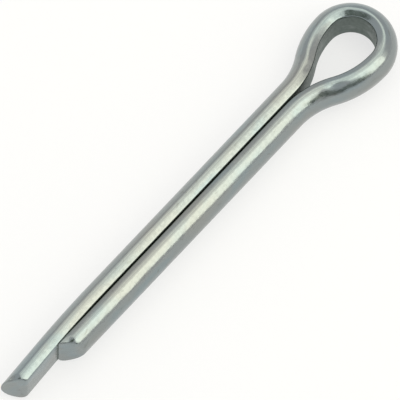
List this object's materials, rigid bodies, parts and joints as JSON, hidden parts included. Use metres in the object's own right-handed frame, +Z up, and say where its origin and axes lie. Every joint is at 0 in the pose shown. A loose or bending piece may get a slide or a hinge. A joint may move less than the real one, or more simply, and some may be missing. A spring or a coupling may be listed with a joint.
{
  "type": "cotter pin",
  "caption": "Cotter pin of folded half-round wire with a teardrop eye and one longer leg whose prong is bent slightly across the shorter one.",
  "frame": {"origin": "on the axis of the closed shank, near the middle of its length", "axes": "+X along the shank toward the eye, +Y to the long leg's side in the plane of the eye, +Z up, square to the plane of the eye"},
  "size_m": [0.0756, 0.0125, 0.0056],
  "materials": {
    "zinc_plate": "zinc-plated low-carbon steel wire, smooth and semi-bright"
  },
  "bodies": {
    "root": {"cotter_pin": "zinc_plate"}
  },
  "joints": []
}
